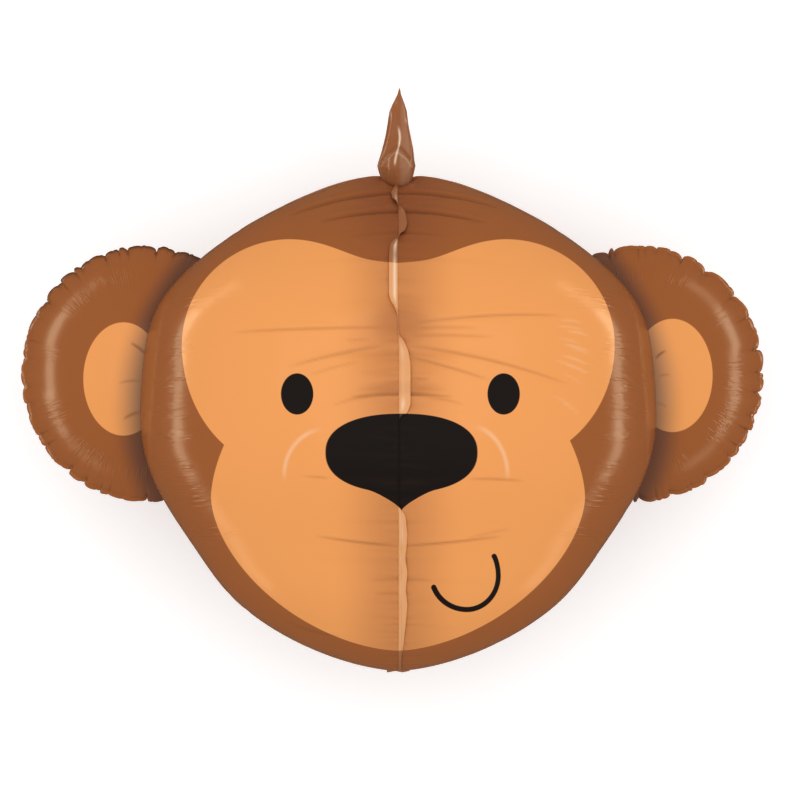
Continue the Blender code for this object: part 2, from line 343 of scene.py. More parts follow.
# Ovals of the print on the drawing: centre, half-width, half-height above and below the centre and,
# where it isn't a plain oval, the power that shapes it, which is 2 in a plain one.
LEFT_BROW = ((290, 345), 107, 105, 125)
RIGHT_BROW = ((506.5, 345), 107, 105, 117)
BROW_MIDDLE = ((398, 400), 125, 135.5, 60)
BROW_BLEND = 50
CHEEKS = ((398, 497), 186, 184, 153, 1.7)
LEFT_PATCH = ((124, 379), 40, 56.5, 56.5)
RIGHT_PATCH = ((672, 375.5), 40, 56.5, 56.5)
NOSE_OVAL = ((401.5, 452), 75.5, 38.5, 40, 2.3)
LEFT_EYE = ((297.9, 394), 16.1, 20.5, 20.5)
RIGHT_EYE = ((502.9, 394), 16.1, 20.5, 20.5)
# The nose ends in a pointed drip, whose half-width is a share of a power of the height above its tip.
NOSE_TIP = (401.5, 510)
DRIP_TOP = 484
DRIP_SHARE = 0.45
DRIP_POWER = 1.4
DRIP_BLEND = 4
# The mouth is part of a ring. A value that ends in SIDES is added on one side of the ring's middle
# and taken away on the other.
MOUTH_MIDDLE = (466.6, 575)
MOUTH_HALF_WIDTH = 33.1
MOUTH_HALF_WIDTH_SIDES = -1.9
MOUTH_HALF_HEIGHT = 36.8
MOUTH_HALF_HEIGHT_SIDES = 3.2
MOUTH_RADIUS = 33
MOUTH_TOP = 570.5
MOUTH_TOP_SIDES = 15.5
MOUTH_ENDS = ((433.6, 586.2), (493.6, 555.4))
STROKE_HALF_WIDTH = 2.6
PRINT_EDGE = 0.35
# Painted shade beside the front seal, over the crown, by the bridge and over the nose, in units of
# the drawing: how far it reaches and how strong it is.
SEAL_SHADE_REACH = 68.0
SEAL_SHADE = 0.82
WEDGE_SHADE_OVAL = ((401, 324), 40, 34, 26)
OVER_NOSE_SHADE_OVAL = ((401, 389), 52, 11, 8)
WEDGE_SHADE = 0.35
CROWN_SHADE_BOTTOM = 300
CROWN_SHADE_TOP = 200
# The roots of the ears get painted shade between two distances from the middle, which grow with
# the square of the height above or below a line across the ears.
ROOT_LINE = 406
ROOT_BOW = 0.0026
TAN_ROOT_SHADE_REACH = (252.0, 290.0)
BROWN_ROOT_SHADE_REACH = (262.0, 290.0)
# Painted highlight arcs beside the nose: the ovals that they follow, which side of the oval shows, their
# fades.
MUZZLE_HIGHLIGHT_ARCS = (((326, 475), 41, 46, 1), ((470, 475), 36.8, 48.5, -1))
ARC_LOW = 483
ARC_HIGH = 466
ARC_FADE = 22
ARC_HALF_WIDTH = 3.4
ARC_HIGHLIGHT_STRENGTH = 0.27


def print_and_painted_light():
    """Printed colours of the film, with painted shade and highlights, from its place on the object."""
    group = new_group("print_and_painted_light", [("Ear", "NodeSocketFloat"), ("Shade", "NodeSocketFloat")],
                      [("Color", "NodeSocketColor"), ("Ink", "NodeSocketFloat")])
    n = Nodes(group)
    ear, shade = n.make("NodeGroupInput").outputs[:2]
    place = n.make("ShaderNodeSeparateXYZ", {0: n.make("ShaderNodeTexCoord").outputs["Object"]})
    x, y, z = place.outputs
    # Two lobes above, blended where they meet, and the cheeks below them.
    brows = n.math("MINIMUM", n.ellipse(x, y, *LEFT_BROW), n.ellipse(x, y, *RIGHT_BROW))
    brow = n.math("SMOOTH_MIN", brows, n.ellipse(x, y, *BROW_MIDDLE), BROW_BLEND * UNIT)
    face = n.math("MINIMUM", brow, n.ellipse(x, y, *CHEEKS))
    ears = n.math("MINIMUM", n.ellipse(x, y, *LEFT_PATCH), n.ellipse(x, y, *RIGHT_PATCH))
    tan = n.math("ADD", n.math("MULTIPLY", ears, ear),
                 n.math("MULTIPLY", face, n.math("SUBTRACT", 1.0, ear)))
    # Nose: a wide oval with a pointed drip.
    nose_x, nose_tip = spot(*NOSE_TIP)
    rise = n.math("MAXIMUM", n.math("DIVIDE", n.math("SUBTRACT", y, nose_tip), UNIT), 0.0)
    half = n.math("MULTIPLY", n.math("POWER", rise, DRIP_POWER), DRIP_SHARE * UNIT)
    drip = n.math("SUBTRACT", n.math("ABSOLUTE", n.math("SUBTRACT", x, nose_x)), half)
    drip = n.math("MAXIMUM", drip, n.math("SUBTRACT", y, y_of(DRIP_TOP)))
    nose = n.math("SMOOTH_MIN", n.ellipse(x, y, *NOSE_OVAL), drip, DRIP_BLEND * UNIT)
    eyes = n.math("MINIMUM", n.ellipse(x, y, *LEFT_EYE), n.ellipse(x, y, *RIGHT_EYE))
    # Mouth: one stroke that hooks up to the right.
    mouth_x, mouth_y = spot(*MOUTH_MIDDLE)
    across = n.math("SUBTRACT", x, mouth_x)
    lift = n.math("SUBTRACT", y, mouth_y)
    sideways = n.math("SIGN", across)
    half_x = n.math("ADD", MOUTH_HALF_WIDTH * UNIT,
                    n.math("MULTIPLY", sideways, MOUTH_HALF_WIDTH_SIDES * UNIT))
    half_y = n.math("ADD", MOUTH_HALF_HEIGHT * UNIT,
                    n.math("MULTIPLY", n.math("SIGN", lift), MOUTH_HALF_HEIGHT_SIDES * UNIT))
    ring = n.math("SQRT", n.math("ADD", n.math("POWER", n.math("DIVIDE", across, half_x), 2.0),
                                 n.math("POWER", n.math("DIVIDE", lift, half_y), 2.0)))
    ring = n.math("MULTIPLY", n.math("ABSOLUTE", n.math("SUBTRACT", ring, 1.0)), MOUTH_RADIUS * UNIT)
    stroke = n.math("SUBTRACT", ring, STROKE_HALF_WIDTH * UNIT)
    tops = n.math("ADD", y_of(MOUTH_TOP), n.math("MULTIPLY", sideways, MOUTH_TOP_SIDES * UNIT))
    stroke = n.math("MAXIMUM", stroke, n.math("SUBTRACT", y, tops))
    for end in MOUTH_ENDS:
        end_x, end_y = spot(*end)
        from_end = n.math("SQRT", n.math("ADD", n.math("POWER", n.math("SUBTRACT", x, end_x), 2.0),
                                         n.math("POWER", n.math("SUBTRACT", y, end_y), 2.0)))
        stroke = n.math("MINIMUM", stroke, n.math("SUBTRACT", from_end, STROKE_HALF_WIDTH * UNIT))
    ink = n.math("MINIMUM", n.math("MINIMUM", nose, eyes), stroke)
    # Painted shade: darker beside the front seal, over the crown, by the bridge, over the nose and at
    # the ears' roots.
    aside = n.math("DIVIDE", n.math("ABSOLUTE", n.math("SUBTRACT", x, HEAD_MIDDLE_X)), UNIT)
    beside = n.math("SUBTRACT", 1.0, n.step(aside, 0.0, SEAL_SHADE_REACH))
    beside = n.math("MULTIPLY", beside, shade)
    shaded_wedge = n.step(n.ellipse(x, y, *WEDGE_SHADE_OVAL), 0.0, -WEDGE_SHADE_OVAL[-1] * UNIT)
    shaded_over_nose = n.step(n.ellipse(x, y, *OVER_NOSE_SHADE_OVAL), 0.0, -OVER_NOSE_SHADE_OVAL[-1] * UNIT)
    shaded_wedge_and_nose = n.math("MULTIPLY", n.math("MAXIMUM", shaded_wedge, shaded_over_nose), shade)
    tan_colour = n.mix(n.math("MULTIPLY", beside, SEAL_SHADE), TAN, TAN_SHADE)
    tan_colour = n.mix(n.math("MULTIPLY", shaded_wedge_and_nose, WEDGE_SHADE), tan_colour, BROWN)
    # The muzzle bends the film along an arc on either side of the nose, and a painted highlight follows
    # each arc.
    highlight_arcs = []
    for centre, arc_half_width, arc_half_height, lean in MUZZLE_HIGHLIGHT_ARCS:
        off = n.math("ABSOLUTE", n.ellipse(x, y, centre, arc_half_width, arc_half_height, arc_half_height))
        inner = x_of(centre[0])
        outer = x_of(centre[0] - ARC_FADE * lean)
        fade = n.step(x, min(inner, outer), max(inner, outer))
        if lean > 0:
            fade = n.math("SUBTRACT", 1.0, fade)
        fade = n.math("MULTIPLY", n.step(y, y_of(ARC_LOW), y_of(ARC_HIGH)), fade)
        line = n.math("SUBTRACT", 1.0, n.step(off, 0.0, ARC_HALF_WIDTH * UNIT))
        highlight_arcs.append(n.math("MULTIPLY", fade, line))
    arc_highlight = n.math("MULTIPLY", n.math("MAXIMUM", *highlight_arcs), ARC_HIGHLIGHT_STRENGTH)
    tan_colour = n.mix(arc_highlight, tan_colour, GLINT)
    bow = n.math("POWER", n.math("DIVIDE", n.math("SUBTRACT", y, y_of(ROOT_LINE)), UNIT), 2.0)
    from_middle = n.math("ADD", aside, n.math("MULTIPLY", bow, ROOT_BOW))
    tan_root_shade = n.math("SUBTRACT", 1.0, n.step(from_middle, *TAN_ROOT_SHADE_REACH))
    tan_colour = n.mix(n.math("MULTIPLY", tan_root_shade, ear), tan_colour, TAN_ROOT_SHADE)
    crown_shade = n.math("MULTIPLY", n.step(y, y_of(CROWN_SHADE_BOTTOM), y_of(CROWN_SHADE_TOP)), beside)
    brown_colour = n.mix(crown_shade, BROWN, BROWN_SHADE)
    brown_root_shade = n.math("SUBTRACT", 1.0, n.step(from_middle, *BROWN_ROOT_SHADE_REACH))
    brown_colour = n.mix(n.math("MULTIPLY", brown_root_shade, ear), brown_colour, BROWN_ROOT_SHADE)
    front = n.math("GREATER_THAN", z, SEAL_Z)
    soft = PRINT_EDGE * UNIT
    in_tan = n.math("MULTIPLY", n.math("SUBTRACT", 1.0, n.step(tan, -soft, soft)), front)
    in_ink = n.math("MULTIPLY", n.math("SUBTRACT", 1.0, n.step(ink, -soft, soft)), front)
    colour = n.mix(in_ink, n.mix(in_tan, brown_colour, tan_colour), INK)
    end = n.make("NodeGroupOutput")
    group.links.new(colour, end.inputs[0])
    group.links.new(in_ink, end.inputs[1])
    return group


TICK_CLOSENESS = 330.0
TICK_SHORTNESS = 45.0
TICK_EDGES = (0.45, 0.75)  # the noise from which a tick rises and at which it is whole


def tick_relief():
    """Height of the finest wrinkles: short parallel ticks across a line, in the marked places."""
    group = new_group("tick_relief", [], [("Height", "NodeSocketFloat")])
    n = Nodes(group)
    along = n.make("ShaderNodeAttribute", attribute_name="along").outputs["Fac"]
    mask = n.make("ShaderNodeAttribute", attribute_name="ticks").outputs["Fac"]
    z = n.make("ShaderNodeSeparateXYZ", {0: n.make("ShaderNodeTexCoord").outputs["Object"]}).outputs[2]
    place = n.make("ShaderNodeCombineXYZ", {0: n.math("MULTIPLY", along, TICK_CLOSENESS),
                                            1: n.math("MULTIPLY", z, TICK_SHORTNESS)}).outputs[0]
    noise = n.make("ShaderNodeTexNoise", {"Vector": place, "Scale": 1.0, "Detail": 1.0},
                   noise_dimensions="2D").outputs["Fac"]
    height = n.math("MULTIPLY", n.step(noise, *TICK_EDGES), mask)
    group.links.new(height, n.make("NodeGroupOutput").inputs[0])
    return group


FOLD_SHADE_STRENGTH = 0.5
GLINT_STRENGTH = 0.9
TICK_HEIGHT = 0.00042
INK_MATTNESS = 0.45
FILM_SPECULAR = 0.12


def film_material(name, ear=0.0, shade=1.0, lightened=0.0, roughness=0.18):
    """Satin film with the print and painted light; lightened mixes in a pale tone, partly the pale
    back of the seal and partly painted sheen.
    """
    material = bpy.data.materials.new(name)
    material.use_nodes = True
    tree = material.node_tree
    n = Nodes(tree)
    shader = tree.nodes["Principled BSDF"]
    made = n.make("ShaderNodeGroup")
    made.node_tree = print_and_light_group
    made.inputs["Ear"].default_value = ear
    made.inputs["Shade"].default_value = shade
    colour = made.outputs[0]
    if lightened:
        bright = n.make("ShaderNodeSeparateColor", {0: colour}).outputs[0]
        colour = n.mix(n.math("MULTIPLY", n.step(bright, 0.0, 0.9), lightened), colour, PALE_BACK_AND_SHEEN)
    # Painted shade in folds and creases darkens the colour, and painted highlights lighten it; one mark on
    # the mesh holds both.
    shade_and_glint = n.make("ShaderNodeAttribute", attribute_name="shade_and_glint").outputs["Fac"]
    colour = n.mix(n.math("MULTIPLY", shade_and_glint, FOLD_SHADE_STRENGTH, clamp=True), colour, FOLD_SHADE)
    colour = n.mix(n.math("MULTIPLY", shade_and_glint, -GLINT_STRENGTH, clamp=True), colour, GLINT)
    tree.links.new(colour, shader.inputs["Base Color"])
    ticks = n.make("ShaderNodeGroup")
    ticks.node_tree = tick_group
    bump = n.make("ShaderNodeBump", {"Height": ticks.outputs[0], "Distance": TICK_HEIGHT})
    tree.links.new(bump.outputs[0], shader.inputs["Normal"])
    matt = n.math("ADD", roughness, n.math("MULTIPLY", made.outputs[1], INK_MATTNESS))
    tree.links.new(matt, shader.inputs["Roughness"])
    shader.inputs["Specular IOR Level"].default_value = FILM_SPECULAR
    return material


print_and_light_group = print_and_painted_light()
tick_group = tick_relief()
film = film_material("printed_film")

ring_down = (np.arange(1, RINGS) / RINGS)[:, None]
ring_down = ring_down + RING_CROWDING / (2 * np.pi) * np.sin(2 * np.pi * ring_down)
front_angles = np.linspace(-np.pi / 2, np.pi / 2, FRONT_COLUMNS, endpoint=False)
back_angles = np.linspace(np.pi / 2, 3 * np.pi / 2, BACK_COLUMNS, endpoint=False)
angles = np.concatenate([front_angles, back_angles])[None, :]
skin = head_surface(ring_down, angles)
wrapped = np.concatenate([skin[:, -1:], skin, skin[:, :1]], axis=1)
normals = grid_normals(wrapped, HEAD_MIDDLE)[:, 1:-1]
radius = np.hypot(skin[..., 0] - HEAD_MIDDLE_X, skin[..., 2] - SEAL_Z)
# Cross-wrinkles of the seals: their spacing, how far they reach, their depth and their half-width.
SHORT_WRINKLES = (0.011, 0.030, 0.0009, 0.0022)
LONG_WRINKLES = (0.045, 0.085, 0.0009, 0.0034)
inward = np.zeros(radius.shape)
for seal_angle in (0.0, np.pi / 2, np.pi, 3 * np.pi / 2):
    line = head_surface(ring_down[:, 0], seal_angle)
    steps = np.linalg.norm(np.diff(line, axis=0), axis=1)
    along = np.concatenate([[0], np.cumsum(steps)])[:, None]
    turn = (angles - seal_angle + np.pi) % (2 * np.pi) - np.pi
    aside = turn * radius
    inward += seal_wrinkles(along, aside, wrinkle_set(along[-1, 0], *SHORT_WRINKLES))
    inward += seal_wrinkles(along, aside, wrinkle_set(along[-1, 0], *LONG_WRINKLES))
FRONT_RAMP = 0.05  # height above the side seals over which the creases of the face set in
front_only = np.clip((skin[..., 2] - SEAL_Z) / FRONT_RAMP, 0, 1)
x, y = skin[..., 0], skin[..., 1]
DEEPEST_CREASE = 0.0029
NARROWEST_CREASE = 0.0015
CREASE_WIDTH_SHARE = 0.9
# The film stands up in a low flank on one side of each crease. Its middle and its half-width are in
# half-widths of the crease, and it sets in between two distances from the front seal.
FLANK_HEIGHT = 0.4
FLANK_PLACE = 2.4
FLANK_HALF_WIDTH = 1.7
FLANKS_FROM = 0.008
FLANKS_WHOLE_AT = 0.022
# Each long crease: its two ends on the drawing, how far it bows up, its depth and its half-width.
LONG_CREASES = [
    ((289, 216), (499, 208), 19, DEEPEST_CREASE, 0.0018),
    ((321, 222), (484, 223), 11, DEEPEST_CREASE, 0.0018),
    ((352, 237), (448, 237), 4, 0.0010, 0.0018),
    ((234, 333), (384, 329), 2, 0.0013, 0.0015),
    ((291, 367), (384, 346), 2, 0.0014, 0.0015),
    ((309, 376), (360, 361), 1, 0.0008, 0.0014),
    ((414, 324), (560, 316), 4, 0.0014, 0.0015),
    ((416, 330), (476, 328), 1, 0.0009, 0.0013),
    ((412, 337), (492, 337), 1, 0.0010, 0.0013),
    ((408, 346), (566, 384), 5, 0.0014, 0.0018),
    ((410, 357), (488, 380), 1, 0.0014, 0.0015),
    ((345, 341), (372, 340), 0, 0.0007, 0.0012),
    ((350, 397), (452, 397), 3, 0.0022, 0.0018),
    ((333, 406), (372, 396), 2, 0.0009, 0.0014),
    ((428, 398), (462, 405), 2, 0.0009, 0.0014),
    ((409, 378), (428, 379), 0, 0.0010, 0.0014),
    ((319, 536), (401, 546), -1, 0.0016, 0.0014),
    ((399, 546), (500, 536), -1, 0.0016, 0.0014),
    ((468, 479), (522, 481), 1, 0.0012, 0.0014),
    ((306, 476), (330, 478), 0, 0.0010, 0.0014),
    ((468, 537), (510, 528), 0, 0.0007, 0.0013),
    ((371, 580), (431, 580), 1, 0.0009, 0.0014),
    ((376, 593), (411, 593), 0, 0.0009, 0.0012),
    ((284, 620), (340, 636), -3, 0.0007, 0.0014),
]
raised = np.zeros(radius.shape)
shade_and_glint = np.zeros(radius.shape)
clear_of_seal = smooth_step(FLANKS_FROM, FLANKS_WHOLE_AT, np.abs(x - HEAD_MIDDLE_X))
# Each crease dents the film and gets painted shade along its groove, the darker the deeper it is.
for start, end, bow, depth, width in LONG_CREASES:
    fade, off = crease(x, y, start, end, bow, max(CREASE_WIDTH_SHARE * width, NARROWEST_CREASE))
    flank = FLANK_HEIGHT * np.exp(-((off - FLANK_PLACE) / FLANK_HALF_WIDTH) ** 2) * clear_of_seal
    raised += depth * fade * (flank - np.exp(-off ** 2))
    shade_and_glint += depth / DEEPEST_CREASE * fade * np.exp(-off ** 2)
# Painted highlights: short bright strokes where the film ripples on the cheek at the right: each
# one's height on the drawing, where it starts and ends, and its shine. The lower a stroke lies, the
# more it slants.
CHEEK_HIGHLIGHT_STROKES = [
    (321, 561, 579, 0.16), (327, 556, 581, 0.14), (332, 566, 586, 0.22), (339, 558, 577, 0.12),
    (345, 563, 587, 0.20), (349, 570, 588, 0.12), (356, 562, 585, 0.22), (361, 556, 574, 0.14),
    (365, 566, 587, 0.18), (374, 562, 580, 0.10), (395, 552, 570, 0.10), (402, 561, 579, 0.12),
]
STROKE_TOP = 321
STROKE_WIDTH = 0.0012
STROKE_DROP = 2
STROKE_TILT = 0.16  # further drop for each unit below the top one, in a stroke of the usual length
STROKE_LENGTH = 20
for height, start, end, shine in CHEEK_HIGHLIGHT_STROKES:
    slant = STROKE_DROP + STROKE_TILT * (height - STROKE_TOP) * (end - start) / STROKE_LENGTH
    fade, off = crease(x, y, (start, height), (end, height + slant), 1, STROKE_WIDTH)
    shade_and_glint -= shine * fade * np.exp(-off ** 2)
# Clusters of fine ticks where each front panel turns towards the side: the height of each cluster on
# the drawing and its half-height, and the angle round the head at which all of them lie.
TICK_CLUSTERS = [(298, 10), (350, 13), (382, 11), (411, 9), (436, 7), (466, 8), (497, 13), (532, 10)]
TICK_ANGLE = 0.92
TICK_ANGLE_SPREAD = 0.17
TICK_SLANT = 0.12
WRINKLE_SHADE = 120
clusters = np.zeros(radius.shape)
for at, half in TICK_CLUSTERS:
    clusters += np.exp(-((down_the_drawing(y) - at) / half) ** 2)
ticks = np.clip(clusters, 0, 1) * np.exp(-((np.abs(angles) - TICK_ANGLE) / TICK_ANGLE_SPREAD) ** 2)
skin = skin + normals * (raised * front_only - inward)[..., None]
skin[..., 2] = np.maximum(skin[..., 2], 0.0)
# Painted shade in the creases and the seal wrinkles, and the painted highlights of the cheek strokes, go
# to the film's material as one mark.
shade_and_glint = np.clip(shade_and_glint * front_only + WRINKLE_SHADE * inward, -1, 1)
slanted = y + TICK_SLANT * np.abs(x - HEAD_MIDDLE_X)
head = piece_from_grid("head_film", skin, (head_surface(0.0, 0.0), head_surface(1.0, 0.0)),
                       {"shade_and_glint": shade_and_glint, "ticks": ticks, "along": slanted})
head.data.materials.append(film)
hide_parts("balloon_envelope")


# Ears: round double discs of the same film, puffed up and sealed round a narrow rim. The film is
# too long for the rim, so the edge gathers into uneven scallops with shallow puckers inside them.

EAR_HALF_WIDTH = 0.1375
EAR_HALF_HEIGHT = 0.1415
EAR_HALF_DEPTH = 0.077
EAR_CENTRE_X = 0.28025
EAR_LIFT = 0.0557  # above the middle of the head
EAR_CENTRE_Y = HEAD_MIDDLE_Y + EAR_LIFT
EAR_FULLNESS = 2.6  # the higher, the flatter the middle of the ear
EAR_EDGE = 0.85  # the higher, the sharper the edge at the rim
EAR_RIM = 0.0045
RIM_DROOP = 0.9
RIM_RUFFLE = 0.0012
RIM_RUFFLES = 23
EAR_COLUMNS = 700
FRONT_ROWS = 90
BACK_ROWS = 22
RIM_ROWS = 3
PUCKER_DEPTH = 0.0009
PUCKER_LENGTH = 0.04  # the shortest, as a share of the ear's radius
PUCKER_LENGTH_SPREAD = 0.11
# The large scallops, and the small ones between their notches. A lap is a step where the film of one
# scallop lies over the next.
SCALLOPS = 35
SCALLOP_DEPTH = 0.0088
LAP = 0.0075
SCALLOP_REACH = 24  # the higher, the closer to the rim the scallops end
FINE_SCALLOPS = 71
FINE_SCALLOP_DEPTH = 0.0022
FINE_LAP = 0.0026
NOTCH_GAPS = (0.25, 1.75)
NOTCH_SHAPE = 0.32  # the smaller, the narrower a notch
# The dark line in from a notch is painted shade in its fold.
NOTCH_SHADE_LINE = 0.0014  # half-width of the dark line that runs in from a notch
SHINE_RING = 0.80  # where the ticks lie, as a share of the ear's radius
SHINE_RING_WIDTH = 0.10
CREASE_WIDTH = 0.0015
CURL_SHADE = 2.3
# Painted shade lines of creases on the patches: both ends of each on the drawing, and how dark it is.
PATCH_CREASE_SHADES = {
    1: [((655, 359), (665, 351), 1.3), ((657, 377), (670, 375), 0.5), ((656, 403), (666, 407), 0.4)],
    -1: [((131, 343), (147, 355), 1.3), ((120, 383), (141, 381), 0.6), ((124, 419), (141, 412), 1.0)],
}


def gathers(angle, count):
    """Uneven notches round a rim: for each angle, how near the next notch is from 0 to 1, where
    between two notches it lies, the metres to the nearer one, and four numbers drawn per notch."""
    gaps = luck.uniform(*NOTCH_GAPS, count)
    notches = np.concatenate([[0], np.cumsum(gaps)]) / gaps.sum() * 2 * np.pi
    drawn = luck.uniform(0, 1, (4, count + 1))
    drawn[:, -1] = drawn[:, 0]
    turn = (angle + luck.uniform(0, 2 * np.pi)) % (2 * np.pi)
    which = np.clip(np.searchsorted(notches, turn, side="right") - 1, 0, count - 1)
    share = (turn - notches[which]) / (notches[which + 1] - notches[which])
    blend = share * share * (3 - 2 * share)
    nearest = np.minimum(turn - notches[which], notches[which + 1] - turn) * EAR_HALF_WIDTH
    mixed = drawn[:, which] * (1 - blend) + drawn[:, which + 1] * blend
    return 1 - np.sin(np.pi * share) ** NOTCH_SHAPE, share, nearest, mixed, drawn[:, which]


def ear_half(face, rows, angle, notch, nearest, mixed, scallop):
    """Film of one side of an ear from its middle to the seal, with painted shade lines and ticks."""
    reach = np.sin(np.pi / 2 * np.arange(1, rows + 1) / rows)[:, None]
    length = PUCKER_LENGTH + PUCKER_LENGTH_SPREAD * mixed[1]
    near = np.clip((reach - 1 + length) / length, 0, 1)
    sink = PUCKER_DEPTH * notch * (0.2 + mixed[0]) * near ** 1.5
    height = EAR_HALF_DEPTH * np.clip(1 - reach ** EAR_FULLNESS, 0, 1) ** EAR_EDGE
    inset = scallop * reach ** SCALLOP_REACH
    x = (EAR_HALF_WIDTH * reach - inset) * np.cos(angle)
    y = (EAR_HALF_HEIGHT * reach - inset) * np.sin(angle)
    z = face * np.maximum(height - sink * np.clip(height / 0.02, 0, 1), FILM_THICKNESS)
    end = np.clip((reach - 0.93 + 0.05 * mixed[3]) / 0.06, 0, 1)
    line = np.clip(1 - nearest / NOTCH_SHADE_LINE, 0, 1) * end * np.clip(3 * mixed[2] - 1.3, 0, 1)
    ring = np.exp(-((reach - SHINE_RING) / SHINE_RING_WIDTH) ** 2)
    return np.stack(np.broadcast_arrays(x, y, z), axis=-1), 0.8 * line, ring


def ear_film(name, side):
    """One ear: front film, sealed rim and back film in one closed mesh."""
    angle = np.linspace(0, 2 * np.pi, EAR_COLUMNS, endpoint=False)[None, :]
    notch, share, nearest, mixed, own = gathers(angle, SCALLOPS)
    fine, fine_share, _, fine_mixed, fine_own = gathers(angle, FINE_SCALLOPS)
    scallop = SCALLOP_DEPTH * notch ** 1.1 * (0.2 + 0.8 * mixed[0]) + LAP * (share - 0.5) * (own[3] - 0.5)
    scallop = (scallop + FINE_SCALLOP_DEPTH * fine * fine_mixed[0]
               + FINE_LAP * (fine_share - 0.5) * (fine_own[1] - 0.5))
    bunch = np.clip(1.5 * np.sin(4 * angle + side) * np.sin(7 * angle + 2) + 0.45, 0, 1)
    rim_reach = np.linspace(0, 1, RIM_ROWS + 1)[1:, None]
    # Painted shade on the rim where it curls over, along the top of the left ear.
    curled_rim_shade = np.clip(1.6 * np.sin(angle) - 0.2, 0, 1) * (side < 0)
    halves = []
    folds = []
    rings = []
    for face, rows in ((1, FRONT_ROWS), (-1, BACK_ROWS)):
        film_points, line, ring = ear_half(face, rows, angle, notch, nearest, mixed, scallop)
        across = (EAR_HALF_WIDTH + EAR_RIM * rim_reach - scallop) * np.cos(angle)
        up = (EAR_HALF_HEIGHT + EAR_RIM * rim_reach - scallop) * np.sin(angle)
        ruffle = RIM_RUFFLE * rim_reach * np.sin(RIM_RUFFLES * angle + 1.2 * np.sin(5 * angle))
        level = ruffle - RIM_DROOP * EAR_RIM * rim_reach + face * FILM_THICKNESS
        rim = np.stack(np.broadcast_arrays(across, up, level), axis=-1)
        halves.append(np.concatenate([film_points, rim]))
        folds.append(np.concatenate([line, CURL_SHADE * curled_rim_shade * rim_reach]))
        rings.append(np.concatenate([ring * bunch, np.zeros((RIM_ROWS, EAR_COLUMNS))]))
    points, shade_and_glint, ticks = (np.concatenate([a, b[::-1]]) for a, b in (halves, folds, rings))
    points[..., 0] = side * (EAR_CENTRE_X + points[..., 0])
    points[..., 1] += EAR_CENTRE_Y
    points[..., 2] += SEAL_Z
    # Painted shade lines of small creases that start where the ear leaves the head and run across its
    # patch.
    for start, end, crease_shade in PATCH_CREASE_SHADES[side]:
        fade, off = crease(points[..., 0], points[..., 1], start, end, 1, CREASE_WIDTH)
        shade_and_glint = shade_and_glint + crease_shade * fade * np.exp(-off ** 2) * (points[..., 2] > SEAL_Z + 0.02)
    middle = np.array([side * EAR_CENTRE_X, EAR_CENTRE_Y, SEAL_Z])
    puff = np.array([0, 0, EAR_HALF_DEPTH])
    round_the_ear = ((angle + np.pi) % (2 * np.pi)) * EAR_HALF_WIDTH
    made = piece_from_grid(name, points, (middle + puff, middle - puff),
                           {"shade_and_glint": shade_and_glint, "ticks": ticks, "along": round_the_ear})
    made.data.materials.append(ear_print_with_painted_light)
    return made


ear_print_with_painted_light = film_material("ear_print_with_painted_light", ear=1.0)
ear_film("right_ear_film", 1)
ear_film("left_ear_film", -1)


# Sealed margins: flat strips of doubled film that stand off the seals and flop over. The one down
# the face changes sides several times; the others lie over one way.

margin_film = film_material("margin_film", shade=0.5, lightened=0.26, roughness=0.26)
STRIP_ROWS = 900
STRIP_COLUMNS = 9
STRIP_ROOT = 0.004
STRIP_SIDE = 0.014  # how far beside a seal the film's slope is taken
# Where the painted highlight along a strip lies and how wide it is.
CREST_PLACE = 0.36  # across a strip, as a share of its width
CREST_WIDTH = 0.16
BEND_AT_ROOT = 0.75  # share of its bend that a strip has at the seal, and its gain across the strip
BEND_GAIN = 0.5
BACK_MARGIN = 0.012
BACK_LEAN = 0.9
SIDE_MARGIN = 0.011
SIDE_LEAN = 0.97
# Number of the small waves along each kind of margin, and their size.
FRONT_RUFFLES = (24, 0.10)
BACK_RUFFLES = (30, 0.12)
SIDE_RUFFLES = (30, 0.06)
FIRST_PLACE = 0.006  # the margins start and end this share of the seal from the crown and the chin
LAST_PLACE = 0.994


